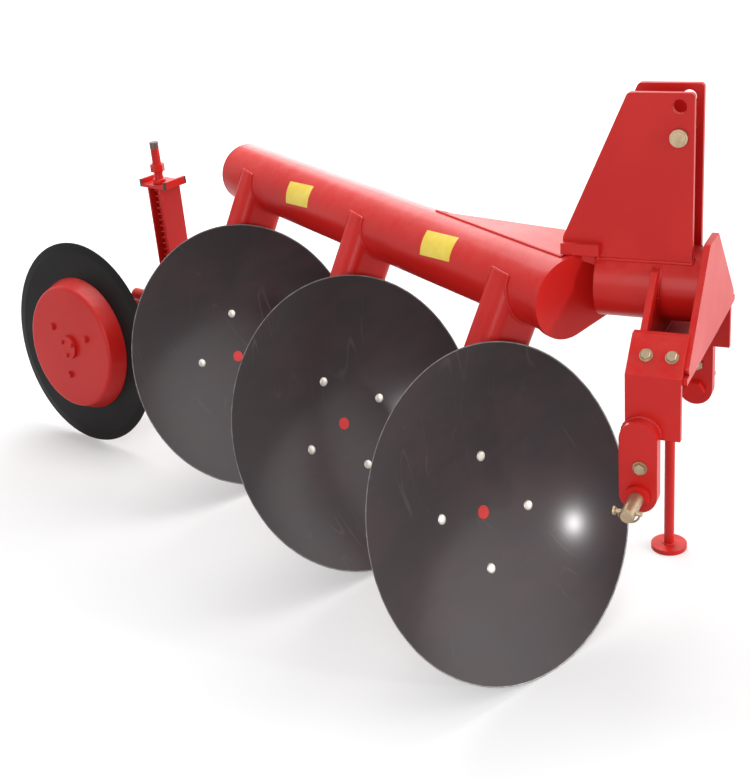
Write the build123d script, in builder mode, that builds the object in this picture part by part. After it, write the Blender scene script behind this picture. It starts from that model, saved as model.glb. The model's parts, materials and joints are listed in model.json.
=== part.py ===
from build123d import *
import os
from math import cos, hypot, radians, sin, sqrt

# A mounted disc plough, in millimetres and degrees.
# X points forward, Y to the left and Z up. The ground is at Z = 0, and until the pieces
# are written the front disc's rim stands over X = 0, Y = 0.

# Clearances
weld_gap = 0.2
shaft_clearance = 0.3
running_gap = 6.0

# Discs, set one behind the other along a slanting beam
disc_count = 3
disc_radius = 330.0
disc_thickness = 6.0
disc_dish = 70.0
disc_hole_radius = 14.0
disc_bevel = 14.0
disc_spacing = 523.0
disc_yaw = 25.0
disc_tilt = 20.0
beam_angle = 32.5

# Hubs that carry the discs, and the bearing housings that carry the hubs
flange_radius = 132.0
flange_rim = 16.0
boss_radius = 72.0
neck_radius = 52.0
boss_length = 34.0
shaft_radius = 25.0
shaft_length = 120.0
housing_radius = 62.0
housing_lip = 6.0
housing_lip_length = 18.0
housing_end = 14.0
housing_dome = 12.0

# Main tube, over the line of discs and to their land side
tube_radius = 75.0
tube_wall = 8.0
tube_height = 685.0
tube_offset = 195.0
tube_front = 47.0
tube_behind = 123.0
cap_thickness = 10.0
cap_chamfer = 3.0
end_plate_thickness = 12.0
end_plate_margin = 5.0

# Legs between the tube and the bearing housings
leg_station = 162.0
leg_near = 20.0
leg_set_back = 20.0
leg_bury = 18.0
leg_width = 124.0
leg_depth = 78.0
leg_corner = 28.0

# Headstock tube and its mast
headstock_radius = 70.0
headstock_wall = 8.0
headstock_side = 255.0
headstock_rise = 20.0
headstock_rear = 121.0
gusset_length = 430.0
gusset_thickness = 12.0
gusset_inset = 12.0
gusset_side = 105.0
gusset_back_step = 44.0
mast_gap = 64.0
mast_rear = 57.0
mast_thickness = 12.0
mast_top_rear = 181.0
mast_heel_rise = 92.0
mast_front = 299.0
mast_corner = 8.0
mast_foot_length = 73.0
mast_foot_height = 22.0
mast_foot_width = 16.0
mast_foot_rise = 63.0
top_hole_radius = 12.75
top_hole_rise = 341.0
top_hole_edge = 24.0
mast_hole_spacing = 54.0
mast_hole_inset = 26.0
mast_pin_overhang = 9.0
mast_pin_head_radius = 16.0
mast_pin_head = 7.0

# Cross-member in front: two plates on edge and a flange below them
front_plate_face = 330.0
plate_thickness = 12.0
plate_rise = 91.0
plate_top_half = 36.0
plate_half = 211.0
rear_plate_face = 244.0
rear_plate_rise = 47.0
flange_drop = 97.0
flange_thickness = 12.0
plate_corner = 10.0

# Brackets, link plates and lower link pins at the ends of the cross-member
bracket_rear = 222.0
bracket_width = 100.0
bracket_thickness = 12.0
bracket_drop = 118.0
bracket_lap = 62.0
link_x = 252.0
link_half = 35.0
link_thickness = 25.0
link_rise = 6.0
link_length = 112.0
pin_radius = 14.0
pin_free = 70.0
pin_chamfer = 3.0
pin_collar_radius = 23.0
pin_collar = 10.0
pin_nut_radius = 22.0
pin_nut = 16.0

# Parking stand in its sleeve
stand_radius = 11.0
stand_side = 203.0
stand_rise = 52.0
sleeve_wall = 6.0
sleeve_drop = 76.0
sleeve_rise = 26.0
foot_radius = 39.0
foot_thickness = 10.0

# Rear furrow wheel
wheel_radius = 276.0
wheel_thickness = 8.0
wheel_bevel = 22.0
wheel_edge = 2.0
wheel_behind = 549.8
wheel_aside = 29.0
wheel_toe = 14.6
wheel_camber = 6.9
drum_radius = 182.0
drum_taper = 18.0
drum_depth = 44.0
drum_corner = 10.0
cap_radius = 32.0
cap_depth = 9.0
wheel_hub_radius = 58.0
wheel_hub_flange = 92.0
wheel_hub_flange_depth = 12.0
wheel_hub_length = 96.0
spindle_radius = 19.0
axle_radius = 27.0

# Tail arm, wheel arm and spring unit behind the last leg
tail_height = 430.0
tail_length = 229.0
tail_width = 50.0
tail_depth = 80.0
wheel_arm_start = 110.0
wheel_arm_thickness = 20.0
wheel_arm_half = 34.0
knee_back = 232.0
knee_drop = 98.0
knee_half = 22.0
boss_half = 18.0
arm_boss_length = 40.0
arm_bolt_radius = 11.0
arm_bolt_head = 12.0
arm_bolt_head_radius = 17.0
channel_width = 48.0
channel_depth = 70.0
channel_wall = 5.0
channel_drop = 42.0
channel_rise = 242.0
screw_inset = 24.0
cross_plate_length = 98.0
cross_plate_width = 76.0
cross_plate_thickness = 8.0
cross_plate_lip = 12.0
screw_radius = 11.0
screw_rise = 118.0
screw_eye = 20.0
nut_radius = 19.0
nut_height = 20.0
nut_rise = 40.0
spring_radius = 18.0
spring_wire = 4.0
spring_turns = 17

# Directions
UP = Vector(0, 0, 1)
beam_way = Vector(-cos(radians(beam_angle)), sin(radians(beam_angle)), 0)
land_way = Vector(sin(radians(beam_angle)), cos(radians(beam_angle)), 0)
disc_axis = Vector(
    cos(radians(disc_yaw)) * cos(radians(disc_tilt)),
    -sin(radians(disc_yaw)) * cos(radians(disc_tilt)),
    sin(radians(disc_tilt)),
)
wheel_axis = Vector(
    -sin(radians(wheel_toe)) * cos(radians(wheel_camber)),
    -cos(radians(wheel_toe)) * cos(radians(wheel_camber)),
    sin(radians(wheel_camber)),
)
tail_way = Vector(-cos(radians(wheel_toe)), sin(radians(wheel_toe)), 0)
tail_side = Vector(sin(radians(wheel_toe)), cos(radians(wheel_toe)), 0)

pieces = []


def keep(builder, name):
    """Label a finished piece and put it on the list that is written at the end."""
    builder.part.label = name
    pieces.append(builder.part)


def beam_point(station, across, height):
    """A point by its distance back along the beam, to the land side, and up."""
    return beam_way * station + land_way * across + UP * height


def square_to(direction, hint):
    """The part of a hint that is square to a direction, at unit length."""
    return (hint - direction * hint.dot(direction)).normalized()


def section_plane(origin, axis):
    """A plane through an axis: its X is the radius and its Y runs along the axis."""
    radius_way = square_to(axis, UP)
    return Plane(origin=origin, x_dir=radius_way, z_dir=radius_way.cross(axis))


# Places that several pieces share
from_end = (Align.CENTER, Align.CENTER, Align.MIN)
tube_length = (disc_count - 1) * disc_spacing + leg_station + tube_behind - tube_front
headstock_height = tube_height + headstock_rise
top_hole_height = headstock_height + top_hole_rise
mast_pin_height = top_hole_height - mast_hole_spacing
mast_top = top_hole_height + top_hole_edge
mast_heel = headstock_height + mast_heel_rise
plate_top = headstock_height + plate_rise
rear_plate_top = headstock_height + rear_plate_rise
flange_top = headstock_height - flange_drop
flange_height = flange_top - flange_thickness
bracket_low = flange_top - bracket_drop
link_top = bracket_low + link_rise
pin_height = link_top - link_length
channel_low = tail_height - channel_drop
channel_high = tail_height + channel_rise
tube_start = beam_point(tube_front, tube_offset, tube_height)
tube_plane = Plane(origin=tube_start, x_dir=(0, 0, 1), z_dir=beam_way)
headstock_front = front_plate_face - plate_thickness
headstock_plane = Plane(
    origin=(headstock_rear, headstock_side, headstock_height), x_dir=(0, 1, 0), z_dir=(1, 0, 0)
)
headstock_length = headstock_front - headstock_rear
end_plate_plane = Plane(
    origin=tube_start - beam_way * end_plate_thickness, x_dir=land_way, z_dir=beam_way
)
dish_sphere = (disc_radius**2 + disc_dish**2) / (2 * disc_dish)
shaft_front = -disc_thickness - flange_rim - boss_length
shaft_end = shaft_front - shaft_length
housing_front = shaft_front - running_gap
housing_back = shaft_end - running_gap - housing_end
housing_mid = (housing_front + housing_back) / 2


def on_dish(radius, behind):
    """A point of the disc's section on the dished face, or a distance behind it."""
    sphere = dish_sphere + behind
    return (radius, dish_sphere - sqrt(sphere**2 - radius**2))


def disc_vertex(number):
    """The deepest point of a disc's hollow face. Disc 0 is the front one."""
    rim_centre = beam_point(number * disc_spacing, 0, disc_radius * cos(radians(disc_tilt)))
    return rim_centre - disc_axis * disc_dish


def cut_main_tube():
    """Cut the main tube, with its weld gap, out of a piece."""
    with Locations(tube_plane):
        Cylinder(tube_radius + weld_gap, tube_length, align=from_end, mode=Mode.SUBTRACT)


def cut_headstock():
    """Cut the headstock tube, with its weld gap, out of a piece."""
    with Locations(headstock_plane.offset(-weld_gap)):
        Cylinder(headstock_radius + weld_gap, 2 * headstock_length, align=from_end, mode=Mode.SUBTRACT)


# Main tube, open inside and closed at both ends
with BuildPart() as main_tube:
    with BuildSketch(tube_plane):
        Circle(tube_radius)
        Circle(tube_radius - tube_wall, mode=Mode.SUBTRACT)
    extrude(amount=tube_length)
keep(main_tube, "main_tube")

with BuildPart() as rear_cap:
    with BuildSketch(tube_plane.offset(tube_length)):
        Circle(tube_radius)
    extrude(amount=cap_thickness)
    chamfer(rear_cap.faces().sort_by(Axis(tube_start, beam_way))[-1].edges(), cap_chamfer)
keep(rear_cap, "rear_cap")

# Headstock tube, along the travel, with a closed rear end
with BuildPart() as headstock_tube:
    with BuildSketch(headstock_plane):
        Circle(headstock_radius)
    extrude(amount=headstock_length)
    with BuildSketch(headstock_plane.offset(cap_thickness)):
        Circle(headstock_radius - headstock_wall)
    extrude(amount=headstock_length, mode=Mode.SUBTRACT)
keep(headstock_tube, "headstock_tube")

# Front end plate, which closes the main tube and is notched round the headstock tube
headstock_spread = headstock_radius * (1 / cos(radians(beam_angle)) - 1)
headstock_across = (headstock_plane.origin - tube_start).dot(land_way) + headstock_spread
with BuildPart() as end_plate:
    with BuildSketch(end_plate_plane):
        Circle(tube_radius + end_plate_margin)
        with Locations((headstock_across, -headstock_rise)):
            Circle(headstock_radius + end_plate_margin)
        make_hull()
    extrude(amount=end_plate_thickness)
    cut_headstock()
keep(end_plate, "end_plate")

# Gusset plate on top, in the angle between the two tubes
with BuildPart() as top_gusset:
    tube_top = tube_height + tube_radius
    gusset_back = beam_point(tube_front + gusset_length, tube_offset + gusset_inset, tube_top)
    gusset_near = beam_point(tube_front, tube_offset + gusset_inset, tube_top)
    gusset_front = mast_rear - weld_gap
    with BuildSketch(Plane.XY.offset(tube_top - gusset_thickness)):
        with BuildLine():
            Polyline(
                (gusset_back.X, gusset_back.Y),
                (gusset_front - gusset_back_step, headstock_side + gusset_side),
                (gusset_front, headstock_side + headstock_radius),
                (gusset_front, gusset_near.Y),
                close=True,
            )
        make_face()
    extrude(amount=gusset_thickness)
    cut_main_tube()
keep(top_gusset, "top_gusset")

# Mast: two plates on edge over the headstock tube, with holes for the top link and a foot outside
foot_align = (Align.MIN, Align.CENTER, Align.MIN)
mast_hole_x = mast_front - mast_hole_inset
mast_sides = [("mast_plate_right", -1), ("mast_plate_left", 1)]
for name, side in mast_sides:
    mast_y = headstock_side + side * (mast_gap + mast_thickness) / 2
    with BuildPart() as mast_plate:
        with BuildSketch(Plane(origin=(0, mast_y, 0), x_dir=(1, 0, 0), z_dir=(0, -1, 0))) as outline:
            with BuildLine():
                Polyline(
                    (mast_rear, tube_top),
                    (mast_rear, mast_heel),
                    (mast_top_rear, mast_top),
                    (mast_front, mast_top),
                    (mast_front, headstock_height),
                    close=True,
                )
            make_face()
            fillet(outline.vertices().group_by(Axis.Z)[-1], mast_corner)
            with Locations((mast_hole_x, top_hole_height), (mast_hole_x, mast_pin_height)):
                Circle(top_hole_radius, mode=Mode.SUBTRACT)
        extrude(amount=mast_thickness / 2, both=True)
        foot_y = mast_y + side * (mast_thickness + mast_foot_width) / 2
        with Locations((mast_rear, foot_y, headstock_height + mast_foot_rise)):
            Box(mast_foot_length, mast_foot_width, mast_foot_height, align=foot_align)
        cut_main_tube()
        cut_headstock()
        add(end_plate.part, mode=Mode.SUBTRACT)
    keep(mast_plate, name)

with BuildPart() as mast_pin:
    pin_span = mast_gap / 2 + mast_thickness + mast_pin_overhang
    pin_middle = (mast_hole_x, headstock_side, mast_pin_height)
    pin_plane = Plane(origin=pin_middle, x_dir=(1, 0, 0), z_dir=(0, -1, 0))
    with BuildSketch(pin_plane):
        Circle(top_hole_radius - shaft_clearance)
    extrude(amount=pin_span, both=True)
    head_seat = mast_gap / 2 + mast_thickness + weld_gap
    with BuildSketch(pin_plane.offset(head_seat)):
        Circle(mast_pin_head_radius)
    extrude(amount=mast_pin_head)
keep(mast_pin, "mast_pin")

# Cross-member: a three-cornered front plate, a rear plate round the tube and a flange below
side_slope = (plate_half - plate_top_half) / (plate_top - flange_top)
with BuildPart() as front_plate:
    with BuildSketch(Plane.YZ.offset(headstock_front)) as outline:
        with BuildLine():
            Polyline(
                (headstock_side - plate_half, flange_top),
                (headstock_side - plate_top_half, plate_top),
                (headstock_side + plate_top_half, plate_top),
                (headstock_side + plate_half, flange_top),
                close=True,
            )
        make_face()
        fillet(outline.vertices().group_by(Axis.Z)[-1], plate_corner)
    extrude(amount=plate_thickness)
keep(front_plate, "hitch_front_plate")

rear_plate_top_half = plate_half - (rear_plate_top - flange_top) * side_slope
with BuildPart() as rear_plate:
    with BuildSketch(Plane.YZ.offset(rear_plate_face - plate_thickness)):
        with BuildLine():
            Polyline(
                (headstock_side - plate_half, flange_top),
                (headstock_side - rear_plate_top_half, rear_plate_top),
                (headstock_side + rear_plate_top_half, rear_plate_top),
                (headstock_side + plate_half, flange_top),
                close=True,
            )
        make_face()
    extrude(amount=plate_thickness)
    cut_headstock()
keep(rear_plate, "hitch_rear_plate")

sleeve_radius = stand_radius + shaft_clearance + sleeve_wall
stand_x = bracket_rear - weld_gap - sleeve_radius
stand_y = headstock_side + stand_side
with BuildPart() as flange:
    with BuildSketch(Plane.XY.offset(flange_height)):
        with Locations(((bracket_rear + front_plate_face) / 2, headstock_side)):
            Rectangle(front_plate_face - bracket_rear, 2 * plate_half)
    extrude(amount=flange_thickness)
keep(flange, "hitch_flange")

# Bent brackets on the sloping sides, with the link plates and lower link pins on them
slope_length = hypot(1, side_slope)
skin = bracket_thickness * slope_length
hitch_ends = [("right", -1), ("left", 1)]
for name, side in hitch_ends:
    end_y = headstock_side + side * (plate_half + weld_gap)
    outer_y = end_y + side * bracket_thickness
    lap_top = flange_top + bracket_lap
    lap_y = end_y - side * bracket_lap * side_slope
    bend_z = flange_top - (bracket_thickness - skin) / side_slope
    with BuildPart() as bracket:
        with BuildSketch(Plane.YZ.offset(bracket_rear)):
            with BuildLine():
                Polyline(
                    (end_y, bracket_low),
                    (outer_y, bracket_low),
                    (outer_y, bend_z),
                    (lap_y + side * skin, lap_top),
                    (lap_y, lap_top),
                    (end_y, flange_top),
                    close=True,
                )
            make_face()
        extrude(amount=bracket_width)
    keep(bracket, "hitch_bracket_" + name)

    outward = Vector(0, side, 0)
    link_plane = Plane(origin=(link_x, outer_y, 0), x_dir=(-side, 0, 0), z_dir=outward)
    with BuildPart() as link_plate:
        with BuildSketch(link_plane):
            with Locations((0, (link_top + pin_height) / 2)):
                SlotCenterToCenter(link_top - pin_height, 2 * link_half, rotation=90)
            with Locations((0, pin_height)):
                Circle(pin_radius + weld_gap, mode=Mode.SUBTRACT)
        extrude(amount=link_thickness)
    keep(link_plate, "link_plate_" + name)

    with BuildPart() as lower_pin:
        with BuildSketch(link_plane.offset(-weld_gap)):
            with Locations((0, pin_height)):
                RegularPolygon(pin_nut_radius, 6)
        extrude(amount=-pin_nut)
        with BuildSketch(link_plane.offset(-weld_gap)):
            with Locations((0, pin_height)):
                Circle(pin_radius)
        extrude(amount=link_thickness + 2 * weld_gap + pin_collar + pin_free)
        tip = lower_pin.faces().sort_by(Axis((0, 0, 0), outward))[-1]
        chamfer(tip.edges(), pin_chamfer)
        with BuildSketch(link_plane.offset(link_thickness + weld_gap)):
            with Locations((0, pin_height)):
                Circle(pin_collar_radius)
        extrude(amount=pin_collar)
    keep(lower_pin, "lower_pin_" + name)

# Parking stand: a sleeve behind the flange, and a round leg with a foot that slides in it
with BuildPart() as stand_sleeve:
    sleeve_low = flange_height - sleeve_drop
    sleeve_high = flange_top + sleeve_rise
    with BuildSketch(Plane.XY.offset(sleeve_low)):
        with Locations((stand_x, stand_y)):
            Circle(sleeve_radius)
            Circle(stand_radius + shaft_clearance, mode=Mode.SUBTRACT)
    extrude(amount=sleeve_high - sleeve_low)
keep(stand_sleeve, "stand_sleeve")

with BuildPart() as stand_leg:
    with BuildSketch(Plane.XY):
        with Locations((stand_x, stand_y)):
            Circle(foot_radius)
    extrude(amount=foot_thickness)
    with BuildSketch(Plane.XY):
        with Locations((stand_x, stand_y)):
            Circle(stand_radius)
    extrude(amount=flange_top + stand_rise)
keep(stand_leg, "stand_leg")

# Each disc with its hub, bearing housing and leg
legs = []
for number in range(disc_count):
    vertex = disc_vertex(number)
    section = section_plane(vertex, disc_axis)
    spin = Axis(vertex, disc_axis)
    bevel_start = disc_radius - disc_bevel

    with BuildPart() as disc:
        with BuildSketch(section):
            with BuildLine():
                ThreePointArc(
                    on_dish(disc_hole_radius, 0), on_dish(disc_radius / 2, 0), on_dish(disc_radius, 0)
                )
                Line(on_dish(disc_radius, 0), on_dish(bevel_start, disc_thickness))
                ThreePointArc(
                    on_dish(bevel_start, disc_thickness),
                    on_dish(disc_radius / 2, disc_thickness),
                    on_dish(disc_hole_radius, disc_thickness),
                )
                Line(on_dish(disc_hole_radius, disc_thickness), on_dish(disc_hole_radius, 0))
            make_face()
        revolve(axis=spin)
    keep(disc, f"disc_{number + 1}")

    seat = disc_thickness + weld_gap
    spigot = disc_hole_radius - weld_gap
    with BuildPart() as hub:
        with BuildSketch(section):
            with BuildLine():
                Polyline((0, shaft_end), (0, 0), (spigot, 0), on_dish(spigot, seat))
                ThreePointArc(
                    on_dish(spigot, seat), on_dish(flange_radius / 2, seat), on_dish(flange_radius, seat)
                )
                Polyline(
                    on_dish(flange_radius, seat),
                    (flange_radius, -disc_thickness - flange_rim),
                    (boss_radius, -disc_thickness - flange_rim),
                    (neck_radius, shaft_front),
                    (shaft_radius, shaft_front),
                    (shaft_radius, shaft_end),
                    (0, shaft_end),
                )
            make_face()
        revolve(axis=spin)
    keep(hub, f"disc_hub_{number + 1}")

    bore = shaft_radius + shaft_clearance
    lip_end = housing_front - housing_lip_length
    with BuildPart() as housing:
        with BuildSketch(section):
            with BuildLine():
                Polyline(
                    (0, shaft_end - running_gap),
                    (bore, shaft_end - running_gap),
                    (bore, housing_front),
                    (housing_radius + housing_lip, housing_front),
                    (housing_radius + housing_lip, lip_end),
                    (housing_radius, lip_end - housing_lip),
                    (housing_radius, housing_back),
                    (housing_radius - housing_dome, housing_back - housing_dome),
                    (0, housing_back - housing_dome),
                    close=True,
                )
            make_face()
        revolve(axis=spin)
    keep(housing, f"bearing_housing_{number + 1}")

    foot = vertex + disc_axis * (housing_mid - leg_set_back)
    head = beam_point(number * disc_spacing + leg_station, tube_offset - leg_near, tube_height)
    lean = (head - foot).normalized()
    with BuildPart() as leg:
        with BuildSketch(Plane(origin=foot, x_dir=square_to(lean, land_way), z_dir=lean)):
            RectangleRounded(leg_width, leg_depth, leg_corner)
        extrude(amount=(head - foot).length + leg_bury)
        cut_main_tube()
        behind_lip = Plane(origin=vertex + disc_axis * (lip_end - housing_lip - weld_gap), z_dir=disc_axis)
        with BuildSketch(behind_lip):
            Circle(housing_radius + housing_lip + weld_gap)
        extrude(amount=disc_radius, mode=Mode.SUBTRACT)
        with BuildSketch(behind_lip):
            Circle(housing_radius + weld_gap)
        extrude(amount=-disc_radius, mode=Mode.SUBTRACT)
    keep(leg, f"leg_{number + 1}")
    legs.append((leg.part, foot, head))

# Rear furrow wheel: a thin sharp-edged wheel, a drum weight outside and a hub inside
wheel_z = wheel_radius * cos(radians(wheel_camber))
last_station = (disc_count - 1) * disc_spacing
wheel_centre = beam_point(last_station, 0, wheel_z) + Vector(-wheel_behind, wheel_aside, 0)
wheel_section = section_plane(wheel_centre, wheel_axis)
wheel_spin = Axis(wheel_centre, wheel_axis)
half = wheel_thickness / 2
with BuildPart() as wheel_disc:
    with BuildSketch(wheel_section):
        with BuildLine():
            Polyline(
                (spindle_radius + running_gap, -half),
                (wheel_radius - wheel_bevel, -half),
                (wheel_radius, -wheel_edge / 2),
                (wheel_radius, wheel_edge / 2),
                (wheel_radius - wheel_bevel, half),
                (spindle_radius + running_gap, half),
                close=True,
            )
        make_face()
    revolve(axis=wheel_spin)
keep(wheel_disc, "wheel_disc")


def is_drum_rim(edge):
    """Whether an edge is the outer edge of the drum's face."""
    return abs(edge.radius - (drum_radius - drum_taper)) < weld_gap


with BuildPart() as wheel_drum:
    with BuildSketch(wheel_section):
        with BuildLine():
            drum_face = half + drum_depth
            Polyline(
                (0, half),
                (drum_radius, half),
                (drum_radius - drum_taper, drum_face),
                (cap_radius, drum_face),
                (cap_radius, drum_face + cap_depth),
                (0, drum_face + cap_depth),
                close=True,
            )
        make_face()
    revolve(axis=wheel_spin)
    fillet(wheel_drum.edges().filter_by(GeomType.CIRCLE).filter_by(is_drum_rim), drum_corner)
keep(wheel_drum, "wheel_drum")

with BuildPart() as wheel_hub:
    with BuildSketch(wheel_section):
        with BuildLine():
            Polyline(
                (spindle_radius + shaft_clearance, -half),
                (wheel_hub_flange, -half),
                (wheel_hub_flange, -half - wheel_hub_flange_depth),
                (wheel_hub_radius, -half - wheel_hub_flange_depth),
                (wheel_hub_radius, -half - wheel_hub_length),
                (spindle_radius + shaft_clearance, -half - wheel_hub_length),
                close=True,
            )
        make_face()
    revolve(axis=wheel_spin)
keep(wheel_hub, "wheel_hub")

# Tail arm, from the last leg straight back towards the wheel
last_leg, last_foot, last_head = legs[-1]
rise = (tail_height - last_foot.Z) / (last_head.Z - last_foot.Z)
tail_start = last_foot + (last_head - last_foot) * rise
tail_end = tail_start + tail_way * tail_length
with BuildPart() as tail_arm:
    with BuildSketch(Plane(origin=tail_start, x_dir=tail_side, z_dir=tail_way)):
        Rectangle(tail_width, tail_depth)
    extrude(amount=tail_length - channel_width / 2 - weld_gap)
    add(last_leg, mode=Mode.SUBTRACT)
keep(tail_arm, "tail_arm")

# Wheel arm, hung beside the tail arm, with a clamp bolt over its knee and the axle at its end
arm_offset = tail_width / 2 + weld_gap + wheel_arm_thickness / 2
arm_reach = (tail_start - wheel_centre).dot(tail_side) - arm_offset
axle_length = arm_reach / cos(radians(wheel_camber))
axle_end = wheel_centre - wheel_axis * axle_length
arm_start = tail_start + tail_way * wheel_arm_start - tail_side * arm_offset
arm_run = (axle_end - arm_start).dot(tail_way)
arm_drop = axle_end.Z - arm_start.Z
knee_top = arm_start + tail_way * knee_back + UP * (knee_half - knee_drop)
boss_plane = Plane(origin=knee_top - tail_way * arm_boss_length / 2, x_dir=tail_side, z_dir=tail_way)
with BuildPart() as wheel_arm:
    with BuildSketch(Plane(origin=arm_start, x_dir=tail_way, z_dir=tail_side)):
        with Locations((0, 0), (arm_run, arm_drop)):
            Circle(wheel_arm_half)
        with Locations((knee_back, -knee_drop)):
            Circle(knee_half)
        make_hull()
    extrude(amount=wheel_arm_thickness / 2, both=True)
    with BuildSketch(boss_plane):
        Circle(boss_half)
    extrude(amount=arm_boss_length)
    with BuildSketch(boss_plane):
        Circle(arm_bolt_radius + weld_gap)
    extrude(amount=2 * arm_boss_length, mode=Mode.SUBTRACT)
    with BuildSketch(boss_plane):
        Circle(arm_bolt_head_radius + weld_gap)
    extrude(amount=-2 * arm_bolt_head, mode=Mode.SUBTRACT)
keep(wheel_arm, "wheel_arm")

with BuildPart() as arm_bolt:
    with BuildSketch(boss_plane.offset(-weld_gap)):
        RegularPolygon(arm_bolt_head_radius, 6)
    extrude(amount=-arm_bolt_head)
    with BuildSketch(boss_plane.offset(-weld_gap)):
        Circle(arm_bolt_radius)
    extrude(amount=arm_boss_length + arm_bolt_head / 2)
keep(arm_bolt, "arm_bolt")

with BuildPart() as wheel_axle:
    hub_end = half + wheel_hub_length + running_gap
    with BuildSketch(Plane(origin=wheel_centre - wheel_axis * hub_end, z_dir=wheel_axis * -1)):
        Circle(axle_radius)
    extrude(amount=axle_length - hub_end)
    with BuildSketch(Plane(origin=wheel_centre, z_dir=wheel_axis * -1)):
        Circle(spindle_radius)
    extrude(amount=hub_end)
    add(wheel_arm.part, mode=Mode.SUBTRACT)
keep(wheel_axle, "wheel_axle")

# Spring unit: an open channel on the tail arm, with a spring on the adjusting screw in its mouth
channel_middle = tail_end + tail_side * (channel_depth - tail_width) / 2
screw_place = channel_middle - tail_side * (channel_depth / 2 - screw_inset)


def level_plane(point, height):
    """A level plane over a point, with its X forward along the tail arm."""
    return Plane(origin=(point.X, point.Y, height), x_dir=tail_way * -1, z_dir=(0, 0, 1))


with BuildPart() as spring_channel:
    with BuildSketch(level_plane(channel_middle, channel_low)):
        Rectangle(channel_width, channel_depth)
        with Locations((0, -channel_wall)):
            Rectangle(channel_width - 2 * channel_wall, channel_depth, mode=Mode.SUBTRACT)
    extrude(amount=channel_high - channel_low)
keep(spring_channel, "spring_channel")

with BuildPart() as cross_plate:
    with BuildSketch(level_plane(channel_middle, channel_high)):
        Rectangle(cross_plate_length, cross_plate_width)
        with Locations((0, screw_inset - channel_depth / 2)):
            Circle(screw_radius + weld_gap, mode=Mode.SUBTRACT)
    extrude(amount=cross_plate_thickness)
    lip_place = (cross_plate_length - cross_plate_thickness) / 2
    with BuildSketch(level_plane(channel_middle, channel_high + cross_plate_thickness)):
        with Locations((-lip_place, 0), (lip_place, 0)):
            Rectangle(cross_plate_thickness, cross_plate_width)
    extrude(amount=cross_plate_lip)
keep(cross_plate, "cross_plate")

screw_along = (screw_place - arm_start).dot(tail_way)
screw_low = arm_start.Z + arm_drop * screw_along / arm_run
screw_foot = Vector(screw_place.X, screw_place.Y, screw_low)
eye_gap = (screw_place - arm_start).dot(tail_side) - wheel_arm_thickness / 2 - weld_gap
with BuildPart() as adjusting_screw:
    with BuildSketch(level_plane(screw_place, screw_low)):
        Circle(screw_radius)
    extrude(amount=channel_high + screw_rise - screw_low)
    with BuildSketch(Plane(origin=screw_foot, x_dir=tail_way, z_dir=tail_side)):
        Circle(screw_eye)
    extrude(amount=eye_gap, both=True)
keep(adjusting_screw, "adjusting_screw")

with BuildPart() as adjusting_nut:
    with BuildSketch(level_plane(screw_place, channel_high + nut_rise)):
        RegularPolygon(nut_radius, 6)
        Circle(screw_radius + weld_gap, mode=Mode.SUBTRACT)
    extrude(amount=nut_height)
keep(adjusting_nut, "adjusting_nut")

spring_length = channel_high - channel_low
spring_pitch = spring_length / spring_turns
spring_inner = screw_radius + weld_gap
spring_root = spring_radius - spring_wire
with BuildPart() as spring:
    spring_foot = Vector(screw_place.X, screw_place.Y, channel_low)
    with BuildSketch(Plane(origin=spring_foot, x_dir=tail_way, z_dir=tail_side)):
        with BuildLine():
            for turn in range(spring_turns):
                low = turn * spring_pitch
                crest = low + spring_pitch / 2
                Polyline((spring_root, low), (spring_radius, crest), (spring_root, low + spring_pitch))
            Polyline(
                (spring_root, spring_length),
                (spring_inner, spring_length),
                (spring_inner, 0),
                (spring_root, 0),
            )
        make_face()
    revolve(axis=Axis(screw_place, UP))
keep(spring, "spring")

# The origin is on the ground, under the middle of the whole plough
boxes = [piece.bounding_box() for piece in pieces]
low_x, high_x = min(box.min.X for box in boxes), max(box.max.X for box in boxes)
low_y, high_y = min(box.min.Y for box in boxes), max(box.max.Y for box in boxes)
low_z = min(box.min.Z for box in boxes)
middle = Vector((low_x + high_x) / 2, (low_y + high_y) / 2, low_z)
to_origin = Location(middle * -1)

os.makedirs("parts", exist_ok=True)
for piece in pieces:
    export_step(piece.moved(to_origin), f"parts/{piece.label}.step")
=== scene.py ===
import json
from collections import namedtuple
from math import cos, pi, radians, sin, sqrt, tau

import bmesh
import bpy
from mathutils import Matrix, Vector
from mathutils.bvhtree import BVHTree


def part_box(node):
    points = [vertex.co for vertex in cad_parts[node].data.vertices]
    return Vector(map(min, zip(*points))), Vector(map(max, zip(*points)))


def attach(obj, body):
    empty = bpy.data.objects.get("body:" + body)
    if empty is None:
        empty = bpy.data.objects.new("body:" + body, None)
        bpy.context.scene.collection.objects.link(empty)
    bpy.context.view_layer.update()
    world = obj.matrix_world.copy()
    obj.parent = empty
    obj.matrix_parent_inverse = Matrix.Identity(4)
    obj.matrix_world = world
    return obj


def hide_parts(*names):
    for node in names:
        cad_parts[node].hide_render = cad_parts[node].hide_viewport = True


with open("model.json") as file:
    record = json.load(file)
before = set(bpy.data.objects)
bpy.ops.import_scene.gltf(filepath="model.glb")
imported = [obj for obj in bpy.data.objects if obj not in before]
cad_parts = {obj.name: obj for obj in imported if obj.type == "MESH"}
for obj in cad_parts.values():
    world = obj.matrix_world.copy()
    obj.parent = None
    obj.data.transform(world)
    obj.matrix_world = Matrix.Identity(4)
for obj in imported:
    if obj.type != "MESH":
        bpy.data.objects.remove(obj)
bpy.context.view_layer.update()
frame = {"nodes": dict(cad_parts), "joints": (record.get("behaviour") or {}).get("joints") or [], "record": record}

nodes = frame["nodes"]
joints = {joint["name"]: joint for joint in frame["joints"]}

# Lengths are in metres, angles in degrees
MM = 0.001
FORWARD = Vector((1, 0, 0))
LEFT = Vector((0, 1, 0))
UP = Vector((0, 0, 1))
SIDES = [("right", -1), ("left", 1)]

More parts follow.
